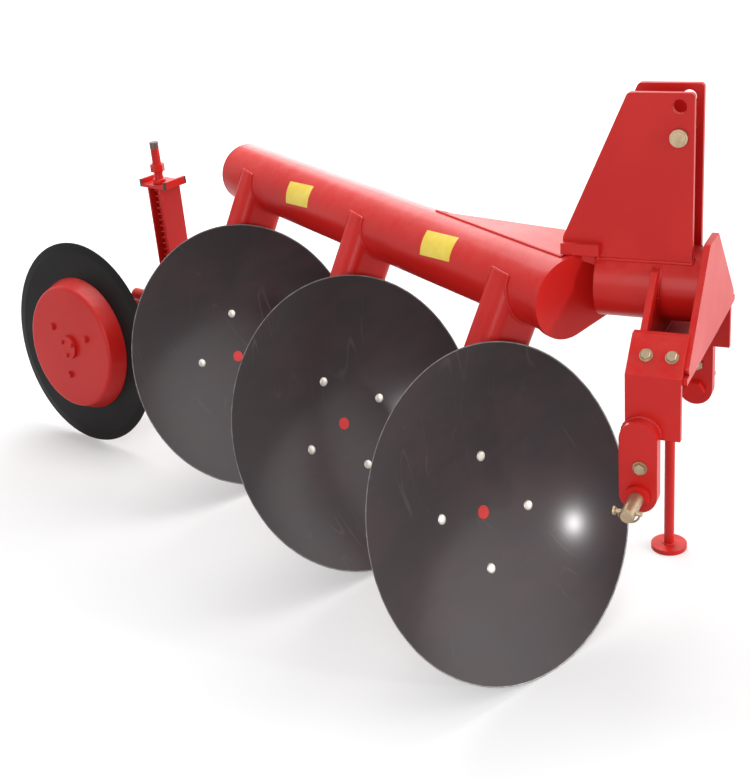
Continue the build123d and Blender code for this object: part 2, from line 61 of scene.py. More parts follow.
# Places that come from the frame. The beam's way goes back along the main tube, and the land's way is level
# and square to it. The tail's side is level along the wheel's axle, and its way is level and square to that.
DISC_COUNT = 3
disc_axis = Vector(joints["disc_1_spin"]["axis"]).normalized()
disc_vertex = [Vector(joints[f"disc_{n}_spin"]["pos_m"]) for n in range(1, DISC_COUNT + 1)]
wheel_axis = Vector(joints["rear_wheel_spin"]["axis"]).normalized()
wheel_centre = Vector(joints["rear_wheel_spin"]["pos_m"])
beam_way = (disc_vertex[1] - disc_vertex[0]).normalized()
land_way = Vector((beam_way.y, -beam_way.x, 0))
tail_side = Vector((-wheel_axis.x, -wheel_axis.y, 0)).normalized()
tail_way = Vector((-tail_side.y, tail_side.x, 0))

# Disc form, the same as the solids'
DISC_RADIUS = 330 * MM
DISC_DISH = 70 * MM
DISC_THICKNESS = 6 * MM
DISC_BEVEL = 14 * MM
DISC_HOLE = 14 * MM
dish_sphere = (DISC_RADIUS**2 + DISC_DISH**2) / (2 * DISC_DISH)

# The point on the ground under the middle of the front disc's rim, from which the beam and hitch are measured
ground = disc_vertex[0] + disc_axis * DISC_DISH
ground.z = 0

# Tubes
TUBE_RADIUS = 75 * MM
TUBE_START = 47 * MM
TUBE_OFFSET = 195 * MM
TUBE_HEIGHT = 685 * MM
HEADSTOCK_RADIUS = 70 * MM
tube_start = ground + beam_way * TUBE_START + land_way * TUBE_OFFSET + UP * TUBE_HEIGHT


# Places and directions
def at(x, y, z):
    """A point forward of, left of and above the ground under the front disc."""
    return ground + Vector((x, y, z))


def middle_of(name):
    """The middle of a node's box."""
    low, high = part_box(name)
    return (low + high) / 2


def outer_face(name, side):
    """The Y of a node's outermost face, for side -1 on the right and 1 on the left."""
    low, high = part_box(name)
    return low.y if side < 0 else high.y


def square_to(direction, hint):
    """The part of a hint that is square to a direction, at unit length."""
    return (hint - direction * hint.dot(direction)).normalized()


NEARLY_UPRIGHT = 0.9


def basis(normal):
    """A turn that takes Z to a normal, with X as near upright as it can be."""
    z = normal.normalized()
    x = square_to(z, UP if abs(z.z) < NEARLY_UPRIGHT else FORWARD)
    return Matrix((x, z.cross(x), z)).transposed()


def placed(origin, normal):
    """A placing matrix with its origin at a point and its Z along a normal."""
    return Matrix.Translation(origin) @ basis(normal).to_4x4()


def upright(axis, height):
    """A placing matrix on an upright axis through a point, at a height."""
    return placed(Vector((axis.x, axis.y, height)), UP)


def lifted(place, height):
    """A placing matrix moved along its own Z."""
    return place @ Matrix.Translation((0, 0, height))


def round_points(place, radius, count, first=0.0, height=0.0):
    """Points spaced evenly round a placing matrix's Z, from a first angle in radians."""
    turns = [first + tau * k / count for k in range(count)]
    return [place @ Vector((radius * cos(a), radius * sin(a), height)) for a in turns]


# Noise as soft patches: waves to the metre, detail, roughness, and the values where they start and are full
Patches = namedtuple("Patches", "scale detail roughness start full")

# Noise as fine relief: waves to the metre, height and strength
Grain = namedtuple("Grain", "scale height strength")
GRAIN_DETAIL = 2.0
EDGE_SAMPLES = 4


class Nodes:
    """A short way to write the node tree of a material or a world."""

    def __init__(self, owner):
        owner.use_nodes = True
        self.owner = owner
        self.tree = owner.node_tree

    def add(self, kind, inputs=None, **settings):
        """A new node with its settings, and with its inputs set or linked."""
        node = self.tree.nodes.new(kind)
        for key, value in settings.items():
            setattr(node, key, value)
        for key, value in (inputs or {}).items():
            self.set(node.inputs[key], value)
        return node

    def set(self, socket, value):
        """Link a socket to another one, or give it a value. A colour comes without its alpha."""
        if isinstance(value, bpy.types.NodeSocket):
            self.tree.links.new(value, socket)
        elif socket.type == "RGBA":
            socket.default_value = (*value, 1)
        else:
            socket.default_value = value

    def shade(self, **inputs):
        """Set or link the shader's own inputs."""
        shader = self.tree.nodes["Principled BSDF"]
        for key, value in inputs.items():
            self.set(shader.inputs[key.replace("_", " ")], value)

    def place(self):
        """Where a point of the surface lies in the frame."""
        return self.add("ShaderNodeTexCoord").outputs["Object"]

    def stretched(self, scale, rotation=(0, 0, 0)):
        """Places stretched along X, Y and Z and then turned."""
        inputs = {"Vector": self.place(), "Scale": scale, "Rotation": rotation}
        return self.add("ShaderNodeMapping", inputs).outputs["Vector"]

    def noise(self, scale, detail, roughness=0.5, vector=None, distortion=0.0):
        """A noise from 0 to 1, over the places unless another vector is given."""
        inputs = {"Vector": vector or self.place(), "Scale": scale, "Detail": detail}
        inputs.update({"Roughness": roughness, "Distortion": distortion})
        return self.add("ShaderNodeTexNoise", inputs).outputs["Fac"]

    def ramp(self, value, low, high):
        """A value stretched so that low gives 0 and high gives 1."""
        inputs = {"Value": value, "From Min": low, "From Max": high}
        return self.add("ShaderNodeMapRange", inputs).outputs["Result"]

    def between(self, value, low, high):
        """Low where a value is 0 and high where it is 1."""
        inputs = {"Value": value, "To Min": low, "To Max": high}
        return self.add("ShaderNodeMapRange", inputs).outputs["Result"]

    def patches(self, look, vector=None):
        """Soft patches of a noise, from 0 to 1."""
        value = self.noise(look.scale, look.detail, look.roughness, vector)
        return self.ramp(value, look.start, look.full)

    def mix(self, factor, first, second):
        """The first colour where a factor is 0 and the second where it is 1."""
        inputs = {"Factor": factor, "A": first, "B": second}
        return self.add("ShaderNodeMix", inputs, data_type="RGBA").outputs["Result"]

    def math(self, operation, first, second=0.0):
        """One operation on one or two values."""
        return self.add("ShaderNodeMath", {0: first, 1: second}, operation=operation).outputs["Value"]

    def times(self, first, second):
        """Two values multiplied."""
        return self.math("MULTIPLY", first, second)

    def along(self, vector, way):
        """How far a vector goes along a direction."""
        return self.add("ShaderNodeVectorMath", {0: vector, 1: way}, operation="DOT_PRODUCT").outputs["Value"]

    def distance_along(self, origin, way):
        """How far a place lies from a point, to either side, along a direction."""
        offset = self.add("ShaderNodeVectorMath", {0: self.place(), 1: origin}, operation="SUBTRACT")
        return self.math("ABSOLUTE", self.along(offset.outputs["Vector"], way))

    def facing_up(self):
        """1 where a face looks up, 0 where it is upright, and less where it looks down."""
        normal = self.add("ShaderNodeNewGeometry").outputs["Normal"]
        return self.add("ShaderNodeSeparateXYZ", {"Vector": normal}).outputs["Z"]

    def relief(self, grain, edge=0.0):
        """A fine grain as relief, over edges that are rounded by a small radius."""
        height = self.noise(grain.scale, GRAIN_DETAIL)
        inputs = {"Strength": grain.strength, "Distance": grain.height, "Height": height}
        node = self.add("ShaderNodeBump", inputs)
        if edge:
            rounded = self.add("ShaderNodeBevel", {"Radius": edge}, samples=EDGE_SAMPLES)
            self.set(node.inputs["Normal"], rounded.outputs["Normal"])
        return node.outputs["Normal"]

    def seen_by_eye(self):
        """1 for camera, glossy and transmission rays, and 0 for the rest."""
        rays = self.add("ShaderNodeLightPath").outputs
        seen = self.math("MAXIMUM", rays["Is Camera Ray"], rays["Is Glossy Ray"])
        return self.math("MAXIMUM", seen, rays["Is Transmission Ray"])


# Colours
RED = (0.56, 0.012, 0.009)
DEEP_RED = (0.48, 0.008, 0.006)
DUSTY_RED = (0.66, 0.20, 0.17)
WHEEL_BLACK = (0.011, 0.0095, 0.0095)
DEEP_BLACK = (0.007, 0.006, 0.006)
DUSTY_BLACK = (0.022, 0.019, 0.018)
DISC_BLACK = (0.014, 0.0072, 0.0085)
SMEARED_BLACK = (0.026, 0.0115, 0.012)
SCRATCH_BROWN = (0.13, 0.10, 0.08)
# The dark colour that the cross plate's corners are darkened to
DARK_CORNER_COLOUR = (0.05, 0.042, 0.04)
EDGE_STEEL = (0.22, 0.21, 0.21)
DULL_EDGE = (0.12, 0.115, 0.115)
DARK_STEEL = (0.16, 0.11, 0.10)
DULL_STEEL = (0.08, 0.06, 0.055)
ZINC = (0.46, 0.35, 0.23)
DULL_ZINC = (0.30, 0.22, 0.14)
PALE_ZINC = (0.66, 0.64, 0.59)
DULL_PALE_ZINC = (0.50, 0.47, 0.42)
YELLOW = (0.76, 0.55, 0.04)
FADED_YELLOW = (0.80, 0.62, 0.10)
WHITE = (1, 1, 1)

# Machine paint: rounded edges, gloss, unevenness, dust on top, and corners darkened beyond a ragged line
RED_SHADES = (RED, DEEP_RED, DUSTY_RED)
BLACK_SHADES = (WHEEL_BLACK, DEEP_BLACK, DUSTY_BLACK)
PAINT_EDGE = 2 * MM
PAINT_GLOSS = 0.22
PAINT_COAT = 0.12
PAINT_COAT_ROUGHNESS = 0.2
PAINT_ROUGHNESS = (0.36, 0.48)
PAINT_TONE = Patches(3.0, 4.0, 0.5, 0.35, 0.7)
PAINT_PEEL = Grain(420.0, 0.25 * MM, 0.25)
SPECKS = Patches(160.0, 2.0, 0.5, 0.62, 0.78)
SPECK_SHARE = 0.25
DUST = Patches(24.0, 6.0, 0.65, 0.4, 0.75)
DUST_SLOPE = (0.2, 1.0)
DUST_SHARE = 0.22
RAGGED_SCALE = 90.0
RAGGED_DETAIL = 4.0
RAGGED_DEPTH = 6 * MM
RAGGED_FADE = 3 * MM


def paint_material(name, shades, edge=PAINT_EDGE, gloss=PAINT_GLOSS, coat=PAINT_COAT, darkening=None):
    """Machine paint: a little uneven in colour, with orange peel, a thin dust and darkened corners."""
    n = Nodes(bpy.data.materials.new(name))
    colour, deep, dusty = shades
    tone = n.patches(PAINT_TONE)
    body = n.mix(tone, colour, deep)
    dust = n.times(n.patches(DUST), n.times(n.ramp(n.facing_up(), *DUST_SLOPE), DUST_SHARE))
    body = n.mix(dust, body, dusty)
    body = n.mix(n.times(n.patches(SPECKS), SPECK_SHARE), body, deep)
    # Corners beyond a distance along each way are darkened towards a dark colour, past a ragged line
    if darkening:
        origin, corner = darkening
        bare = 1.0
        for way, start in corner:
            ragged = n.times(n.noise(RAGGED_SCALE, RAGGED_DETAIL), RAGGED_DEPTH)
            away = n.math("ADD", n.distance_along(origin, way), ragged)
            bare = n.times(bare, n.ramp(away, start, start + RAGGED_FADE))
        body = n.mix(bare, body, DARK_CORNER_COLOUR)
    n.shade(
        Base_Color=body,
        Roughness=n.between(tone, *PAINT_ROUGHNESS),
        Normal=n.relief(PAINT_PEEL, edge),
        Specular_IOR_Level=gloss,
        Coat_Weight=coat,
        Coat_Roughness=PAINT_COAT_ROUGHNESS,
    )
    return n.owner


# Disc paint: its smears, and scratches that are lines of a stretched noise where some patches show them.
# Their lean is in radians.
DISC_GLOSS = 0.11
DISC_TINT = (1.0, 0.9, 0.96)
DISC_COAT = 0.31
DISC_COAT_ROUGHNESS = 0.165
DISC_ROUGHNESS = (0.34, 0.40)
DISC_PEEL = Grain(500.0, 0.1 * MM, 0.08)
SMEARS = Patches(2.4, 5.0, 0.6, 0.42, 0.72)
SMEAR_STRETCH = (2.2, 2.2, 5.0)
SCRATCHED = Patches(6.0, 3.0, 0.5, 0.54, 0.72)
SCRATCH_SHARE = 0.3
SCRATCH_STRETCH = (2, 16, 4)
SCRATCH_LEAN = (0.4, 0.2, 0.9)
SCRATCH_SCALE = 1.6
SCRATCH_BEND = 0.1
SCRATCH_LEVEL = 0.5
SCRATCH_WIDTH = 0.02


def disc_material(name):
    """Glossy black disc paint, with brownish smears and fine handling scratches."""
    n = Nodes(bpy.data.materials.new(name))
    smear = n.patches(SMEARS, n.stretched(SMEAR_STRETCH))
    streaks = n.stretched(SCRATCH_STRETCH, SCRATCH_LEAN)
    wave = n.noise(SCRATCH_SCALE, 0.0, vector=streaks, distortion=SCRATCH_BEND)
    from_line = n.math("ABSOLUTE", n.math("SUBTRACT", wave, SCRATCH_LEVEL))
    line = n.math("SUBTRACT", 1.0, n.ramp(from_line, 0.0, SCRATCH_WIDTH))
    scratch = n.times(line, n.patches(SCRATCHED))
    tint = n.mix(smear, DISC_BLACK, SMEARED_BLACK)
    n.shade(
        Base_Color=n.mix(n.times(scratch, SCRATCH_SHARE), tint, SCRATCH_BROWN),
        Roughness=n.between(smear, *DISC_ROUGHNESS),
        Normal=n.relief(DISC_PEEL),
        Specular_IOR_Level=DISC_GLOSS,
        Specular_Tint=DISC_TINT,
        Coat_Weight=DISC_COAT,
        Coat_Roughness=DISC_COAT_ROUGHNESS,
    )
    return n.owner


# Steel
STEEL_METAL = 0.85
STEEL_SCUFF = 0.16
STEEL_EDGE = 0.6 * MM
STEEL_CLOUDS = Patches(55.0, 5.0, 0.6, 0.35, 0.7)
STEEL_GRAIN = Grain(900.0, 0.1 * MM, 0.3)
PIN_ROUGHNESS = (0.36, 0.5)
PIN_PAINT_FADE = 0.5 * MM


def steel_material(name, colour, dull, roughness):
    """Plated steel, cloudy and lightly scuffed."""
    n = Nodes(bpy.data.materials.new(name))
    clouds = n.patches(STEEL_CLOUDS)
    n.shade(
        Base_Color=n.mix(clouds, colour, dull),
        Metallic=STEEL_METAL,
        Roughness=n.between(clouds, roughness, roughness + STEEL_SCUFF),
        Normal=n.relief(STEEL_GRAIN, STEEL_EDGE),
    )
    return n.owner


def pin_material(name, origin, way, painted):
    """Yellowed zinc on the free ends of two pins, and red paint up to a distance from their middle."""
    n = Nodes(bpy.data.materials.new(name))
    bare = n.ramp(n.distance_along(origin, way), painted, painted + PIN_PAINT_FADE)
    clouds = n.patches(STEEL_CLOUDS)
    n.shade(
        Base_Color=n.mix(bare, RED, n.mix(clouds, ZINC, DULL_ZINC)),
        Metallic=n.times(bare, STEEL_METAL),
        Roughness=n.between(clouds, *PIN_ROUGHNESS),
        Normal=n.relief(STEEL_GRAIN, STEEL_EDGE),
        Specular_IOR_Level=PAINT_GLOSS,
    )
    return n.owner


# Vinyl
VINYL_FADE = Patches(40.0, 4.0, 0.5, 0.35, 0.7)
VINYL_GRAIN = Grain(300.0, 0.1 * MM, 0.2)
VINYL_ROUGHNESS = (0.3, 0.45)


def sticker_material(name):
    """Plain yellow vinyl, a little faded and scuffed."""
    n = Nodes(bpy.data.materials.new(name))
    fade = n.patches(VINYL_FADE)
    n.shade(
        Base_Color=n.mix(fade, YELLOW, FADED_YELLOW),
        Roughness=n.between(fade, *VINYL_ROUGHNESS),
        Normal=n.relief(VINYL_GRAIN),
    )
    return n.owner


# The cross plate is darker at its corners, and the lower link pins are bare outside their link plates
CORNER_ALONG = 43 * MM
CORNER_ACROSS = 34 * MM
PIN_FREE_LENGTH = 67 * MM
dark_corners = (middle_of("cross_plate"), [(tail_way, CORNER_ALONG), (tail_side, CORNER_ACROSS)])
pins_middle = (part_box("lower_pin_right")[0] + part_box("lower_pin_left")[1]) / 2
pins_painted = outer_face("lower_pin_left", 1) - pins_middle.y - PIN_FREE_LENGTH

red = paint_material("red_paint", RED_SHADES)
weld_red = paint_material("red_weld_paint", RED_SHADES, edge=0.0)
tip_red = paint_material("red_tip_paint", RED_SHADES, darkening=dark_corners)
black = disc_material("black_disc_paint")
wheel_black = paint_material("black_wheel_paint", BLACK_SHADES, gloss=0.1, coat=0.0)
edge_steel = steel_material("disc_edge", EDGE_STEEL, DULL_EDGE, roughness=0.38)
zinc = steel_material("yellowed_zinc", ZINC, DULL_ZINC, roughness=0.34)
pale_zinc = steel_material("pale_zinc", PALE_ZINC, DULL_PALE_ZINC, roughness=0.46)
dark_steel = steel_material("dark_steel", DARK_STEEL, DULL_STEEL, roughness=0.4)
yellow = sticker_material("yellow_vinyl")
pin_steel = pin_material("link_pin", pins_middle, LEFT, pins_painted)

slots = {part["node"]: part["material_slot"] for part in frame["record"]["subparts"]}
slot_finish = {"red_paint": red, "black_paint": black, "bare_steel": zinc}
own_finish = {
    "wheel_disc": wheel_black,
    "adjusting_screw": red,
    "adjusting_nut": red,
    "cross_plate": tip_red,
    "arm_bolt": dark_steel,
    "lower_pin_right": pin_steel,
    "lower_pin_left": pin_steel,
}


def dress_nodes():
    """Give each solid its own finish, or else its slot's."""
    for name, node in nodes.items():
        node.data.materials.clear()
        node.data.materials.append(own_finish.get(name, slot_finish[slots[name]]))


# Shapes that the pieces are made of. Edges that turn by less than these angles are smooth, and no wire starts
# along the odd way.
SMOOTH_BELOW = 35
SMOOTH_DISC = 20
SMOOTH_STICKER = 30
SMOOTH_WIRE = 60
SAME_POINT = 0.01 * MM
ODD_WAY = Vector((0.31, 0.52, 0.79))
ROUND_SIDES = 32
WIRE_SIDES = 8


def bridge(mesh, first, second):
    """Faces between two rings, either of which may be a single point."""
    for k in range(max(len(first), len(second))):
        corners = [first[k % len(first)], first[(k + 1) % len(first)]]
        corners += [second[(k + 1) % len(second)], second[k % len(second)]]
        mesh.faces.new(list(dict.fromkeys(corners)))


def turn(mesh, place, profile, sides=ROUND_SIDES):
    """Add a turned or many-sided shape: (radius, height) pairs round a placing matrix's Z."""
    rings = []
    for radius, height in profile:
        points = round_points(place, radius, sides if radius else 1, height=height)
        rings.append([mesh.verts.new(point) for point in points])
    for below, above in zip(rings, rings[1:]):
        bridge(mesh, below, above)


def rod(mesh, place, radius, height, sides=ROUND_SIDES):
    """Add a plain round rod."""
    turn(mesh, place, [(0, 0), (radius, 0), (radius, height), (0, height)], sides)


def bevelled_rod(mesh, place, radius, height, bevel, sides):
    """Add a round rod with a bevel round its end."""
    end = [(radius, height - bevel), (radius - bevel, height), (0, height)]
    turn(mesh, place, [(0, 0), (radius, 0), *end], sides)


def wire(mesh, points, radius, sides=WIRE_SIDES, closed=False, ripple=0.0, ripple_steps=1):
    """Add a round wire along points, with a ripple in its thickness every few points."""
    count = len(points)
    turns = [tau * j / sides for j in range(sides)]
    rings = []
    side = ODD_WAY
    for k, point in enumerate(points):
        ahead = points[(k + 1) % count] if closed or k + 1 < count else point
        behind = points[k - 1] if closed or k else point
        way = (ahead - behind).normalized()
        side = square_to(way, side)
        across = way.cross(side)
        thick = radius * (1 + ripple * sin(tau * k / ripple_steps))
        rings.append([mesh.verts.new(point + (side * cos(a) + across * sin(a)) * thick) for a in turns])
    for first, second in zip(rings, rings[1:]):
        bridge(mesh, first, second)
    if closed:
        shift = min(range(sides), key=lambda s: (rings[0][s].co - rings[-1][0].co).length)
        bridge(mesh, rings[-1], rings[0][shift:] + rings[0][:shift])
    else:
        bridge(mesh, [mesh.verts.new(points[0])], rings[0])
        bridge(mesh, rings[-1], [mesh.verts.new(points[-1])])


def finish_piece(name, mesh, material, body, smooth=SMOOTH_BELOW):
    """Turn a bmesh into a piece that rides on a body, smooth over edges below an angle."""
    bmesh.ops.recalc_face_normals(mesh, faces=mesh.faces)
    data = bpy.data.meshes.new(name)
    mesh.to_mesh(data)
    mesh.free()
    data.polygons.foreach_set("use_smooth", [True] * len(data.polygons))
    data.set_sharp_from_angle(angle=radians(smooth))
    data.materials.append(material)
    piece = bpy.data.objects.new(name, data)
    bpy.context.scene.collection.objects.link(piece)
    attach(piece, body)
    return piece


# Fasteners: sides and steps, then sizes as shares of the thread's diameter. A bevel's start and corner are
# shares of the head's height and of the corner.
HEX = 6
SHANK_SIDES = 20
DOME_SIDES = 24
DOME_STEPS = 6
HEX_CORNER = 0.92
WASHER_RADIUS = 1.1
WASHER_HEIGHT = 0.2
HEAD_HEIGHT = 0.64
HEAD_BEVEL_START = 0.8
HEAD_BEVEL_CORNER = 0.86
NUT_HEIGHT = 0.7
NUT_BEVEL = 0.08
NUT_BEVEL_CORNER = 0.88
SHANK_RADIUS = 0.5


def bolt_head(mesh, place, size):
    """A washer and a hexagon head with a chamfer."""
    corner, height = size * HEX_CORNER, size * HEAD_HEIGHT
    rod(mesh, place, size * WASHER_RADIUS, size * WASHER_HEIGHT)
    side = [(corner, 0), (corner, height * HEAD_BEVEL_START), (corner * HEAD_BEVEL_CORNER, height)]
    turn(mesh, lifted(place, size * WASHER_HEIGHT), [(0, 0), *side, (0, height)], HEX)


def hexagon_nut(mesh, place, corner, height, bevel):
    """A hexagon nut with a chamfer at both ends."""
    narrow = corner * NUT_BEVEL_CORNER
    side = [(narrow, 0), (corner, bevel), (corner, height - bevel), (narrow, height)]
    turn(mesh, place, [(0, 0), *side, (0, height)], HEX)


def bolt_nut(mesh, place, size, proud):
    """A hexagon nut with the end of its bolt standing out of it."""
    height, bevel = size * NUT_HEIGHT, size * NUT_BEVEL
    hexagon_nut(mesh, place, size * HEX_CORNER, height, bevel)
    bevelled_rod(mesh, place, size * SHANK_RADIUS, height + proud, bevel, SHANK_SIDES)


def dome_head(mesh, place, radius, height):
    """A low round head."""
    steps = [pi / 2 * k / DOME_STEPS for k in range(DOME_STEPS)]
    dome = [(radius * cos(a), height * sin(a)) for a in steps]
    turn(mesh, place, [(0, 0), *dome, (0, height)], DOME_SIDES)


# Discs: the same form as the solids, turned finely, with a bare band at the edge
DISH_STEPS = 20
DISC_SIDES = 180
EDGE_BAND = 2.5 * MM


def dish_point(radius, behind=0.0):
    """A (radius, height) pair on the hollow face, or a distance behind it."""
    sphere = dish_sphere + behind
    return (radius, dish_sphere - sqrt(sphere**2 - radius**2))


def dish_line(outer, behind=0.0):
    """(radius, height) pairs from the centre hole out to a radius."""
    span = outer - DISC_HOLE
    return [dish_point(DISC_HOLE + span * k / DISH_STEPS, behind) for k in range(DISH_STEPS + 1)]


def add_disc(number, vertex):
    """One dished disc, with its edge band in bare steel."""
    body = f"disc_{number}"
    front = dish_line(DISC_RADIUS - EDGE_BAND)
    edge = dish_point(DISC_RADIUS)
    back = dish_line(DISC_RADIUS - DISC_BEVEL, DISC_THICKNESS)
    mesh = bmesh.new()
    turn(mesh, placed(vertex, disc_axis), [*front, edge, *reversed(back), front[0]], DISC_SIDES)
    bmesh.ops.remove_doubles(mesh, verts=mesh.verts, dist=SAME_POINT)
    mesh.faces.ensure_lookup_table()
    # The two rings of faces at the edge take the second material
    for face in mesh.faces[DISH_STEPS * DISC_SIDES:(DISH_STEPS + 2) * DISC_SIDES]:
        face.material_index = 1
    disc = finish_piece(f"disc_skin_{number}", mesh, black, body, SMOOTH_DISC)
    disc.data.materials.append(edge_steel)
    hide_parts(body)


# Disc bolts: domes in the hollow face and nuts behind the hub's flange, with each disc's turn
BOLTS_A_DISC = 4
BOLT_TURNS = [-15.0, 12.0, -9.0]
BOLT_CIRCLE = 110 * MM
FLANGE_BACK = 22 * MM
DOME_RADIUS = 10.5 * MM
DOME_HEIGHT = 4 * MM
DISC_NUT = 11 * MM
DISC_NUT_PROUD = 2 * MM


def add_disc_bolts(number, vertex):
    """The four bolts that hold one disc to its hub."""
    place = placed(vertex, disc_axis)
    hollow_centre = place @ Vector((0, 0, dish_sphere))
    radius, height = dish_point(BOLT_CIRCLE)
    first = radians(BOLT_TURNS[number - 1])
    heads = round_points(place, radius, BOLTS_A_DISC, first, height)
    nuts = round_points(place, radius, BOLTS_A_DISC, first, -FLANGE_BACK)
    mesh = bmesh.new()
    for head, nut in zip(heads, nuts):
        dome_head(mesh, placed(head, hollow_centre - head), DOME_RADIUS, DOME_HEIGHT)
        bolt_nut(mesh, placed(nut, -disc_axis), DISC_NUT, DISC_NUT_PROUD)
    finish_piece(f"disc_bolts_{number}", mesh, pale_zinc, f"disc_{number}")


# Bearing caps, by how far their faces lie behind the discs' hollows. The nipple's outline is (radius, height)
# in millimetres.
CAP_FACE_BACK = 208 * MM
CAP_BOLTS = 4
CAP_BOLT = 10 * MM
CAP_BOLT_CIRCLE = 36 * MM
CAP_BOLT_TURN = 45
NIPPLE = [(0, 0), (6, 0), (6, 5), (3.5, 6), (3.5, 11), (4.5, 13), (3, 16), (0, 16)]
NIPPLE_SIDES = 16


def add_bearing_cap_bolts():
    """Four bolts and a grease nipple on the closed end of each housing."""
    mesh = bmesh.new()
    for vertex in disc_vertex:
        place = placed(vertex - disc_axis * CAP_FACE_BACK, -disc_axis)
        for spot in round_points(place, CAP_BOLT_CIRCLE, CAP_BOLTS, radians(CAP_BOLT_TURN)):
            bolt_head(mesh, placed(spot, -disc_axis), CAP_BOLT)
        turn(mesh, place, [(radius * MM, height * MM) for radius, height in NIPPLE], NIPPLE_SIDES)
    finish_piece("bearing_cap_bolts", mesh, zinc, "frame")


# Rear wheel: bolts through drum and hub, and the bearing cap's small bolts in line with them
DRUM_BOLTS = 3
DRUM_BOLT = 10 * MM
DRUM_BOLT_PROUD = 5 * MM
DRUM_BOLT_CIRCLE = 80 * MM
DRUM_BOLT_TURN = 56
DRUM_FACE = 48 * MM
HUB_FLANGE_BACK = 16 * MM
SMALL_BOLT = 6 * MM
SMALL_BOLT_CIRCLE = 22 * MM
WHEEL_CAP_FACE = 57 * MM


def add_drum_bolts():
    """Three bolts with their nuts, and three small bolts, all under the wheel's paint."""
    place = placed(wheel_centre, wheel_axis)
    first = radians(DRUM_BOLT_TURN)
    heads = round_points(place, DRUM_BOLT_CIRCLE, DRUM_BOLTS, first, DRUM_FACE)
    nuts = round_points(place, DRUM_BOLT_CIRCLE, DRUM_BOLTS, first, -HUB_FLANGE_BACK)
    caps = round_points(place, SMALL_BOLT_CIRCLE, DRUM_BOLTS, first, WHEEL_CAP_FACE)
    mesh = bmesh.new()
    for head, nut, cap in zip(heads, nuts, caps):
        bolt_head(mesh, placed(head, wheel_axis), DRUM_BOLT)
        bolt_nut(mesh, placed(nut, -wheel_axis), DRUM_BOLT, DRUM_BOLT_PROUD)
        bolt_head(mesh, placed(cap, wheel_axis), SMALL_BOLT)
    finish_piece("drum_bolts", mesh, red, "rear_wheel")


# Two blank stickers: name, place back along the main tube, and angle up round it
STICKERS = [("rear_sticker", 899 * MM, 27.5), ("front_sticker", 327 * MM, 33.5)]
STICKER_LENGTH = 102 * MM
STICKER_HEIGHT = 54 * MM
STICKER_THICKNESS = 0.5 * MM
STICKER_LEAN = 5
STICKER_STEPS = 12


def sticker_point(station, rise, i, j):
    """A point of a sticker's grid, i steps along it and j steps up it, just outside the main tube."""
    lean = radians(STICKER_LEAN)
    u = (i / STICKER_STEPS - 0.5) * STICKER_LENGTH
    v = (j / STICKER_STEPS - 0.5) * STICKER_HEIGHT
    along = station + u * cos(lean) + v * sin(lean)
    angle = radians(rise) + (v * cos(lean) - u * sin(lean)) / TUBE_RADIUS
    out = UP * sin(angle) - land_way * cos(angle)
    return tube_start + beam_way * along + out * (TUBE_RADIUS + STICKER_THICKNESS)


def add_sticker(name, station, rise):
    """One blank sticker that follows the main tube."""
    steps = range(STICKER_STEPS + 1)
    mesh = bmesh.new()
    grid = [[mesh.verts.new(sticker_point(station, rise, i, j)) for j in steps] for i in steps]
    for row, beyond in zip(grid, grid[1:]):
        for j in range(STICKER_STEPS):
            mesh.faces.new((row[j], row[j + 1], beyond[j + 1], beyond[j]))
    bmesh.ops.recalc_face_normals(mesh, faces=mesh.faces)
    bmesh.ops.solidify(mesh, geom=mesh.faces[:], thickness=STICKER_THICKNESS)
    finish_piece(name, mesh, yellow, "frame", SMOOTH_STICKER)


# Hitch: bolts through the bent brackets and the link plates, on both sides of its middle. The brackets' slopes
# are found from high above.
HITCH_MIDDLE = 255 * MM
HIGH_ABOVE = 1282 * MM
BRACKET_BOLT_X = [254 * MM, 300 * MM]
BRACKET_BOLT_SIDE = 197 * MM
BRACKET_SLOPE = 0.931
BRACKET_THICKNESS = 12 * MM
BRACKET_BOLT = 11 * MM
BRACKET_BOLT_PROUD = 4 * MM
LINK_BOLT_X = 256 * MM
LINK_BOLT_Z = 442 * MM
LINK_BOLT = 12 * MM
LINK_NUT = 13 * MM
LINK_NUT_PROUD = 5 * MM


def skin_tree(name):
    """A node's faces, to find nearest places and hits on."""
    data = nodes[name].data
    return BVHTree.FromPolygons([v.co for v in data.vertices], [p.vertices for p in data.polygons])


def add_hitch_bolts():
    """Two bolts down through each bracket's slope, and one across through each link plate."""
    mesh = bmesh.new()
    for name, side in SIDES:
        slope = Vector((0, side, BRACKET_SLOPE)).normalized()
        bracket = skin_tree("hitch_bracket_" + name)
        for x in BRACKET_BOLT_X:
            above = at(x, HITCH_MIDDLE + side * BRACKET_BOLT_SIDE, HIGH_ABOVE)
            head = bracket.ray_cast(above, -UP)[0]
            bolt_head(mesh, placed(head, slope), BRACKET_BOLT)
            bolt_nut(mesh, placed(head - slope * BRACKET_THICKNESS, -slope), BRACKET_BOLT, BRACKET_BOLT_PROUD)
        link = "link_plate_" + name
        spot = at(LINK_BOLT_X, 0, LINK_BOLT_Z)
        head = Vector((spot.x, outer_face(link, side), spot.z))
        nut = Vector((spot.x, outer_face(link, -side), spot.z))
        bolt_head(mesh, placed(head, LEFT * side), LINK_BOLT)
        bolt_nut(mesh, placed(nut, LEFT * -side), LINK_NUT, LINK_NUT_PROUD)
    finish_piece("hitch_bolts", mesh, zinc, "frame")


# Linch pins: half the rod's length, the rod's radius, and the radius of the sprung half ring. The head's
# radius and the ring's wire are shares of the rod's radius.
LinchPin = namedtuple("LinchPin", "half radius ring")
LINK_LINCH = LinchPin(24 * MM, 4.5 * MM, 20 * MM)
MAST_LINCH = LinchPin(19 * MM, 2.5 * MM, 16 * MM)
LINK_LINCH_INSET = 18 * MM
MAST_LINCH_INSET = 4 * MM
LINCH_HEAD = 1.8
LINCH_RING_WIRE = 0.45
LINCH_RING_STEPS = 24
LINCH_SIDES = 16


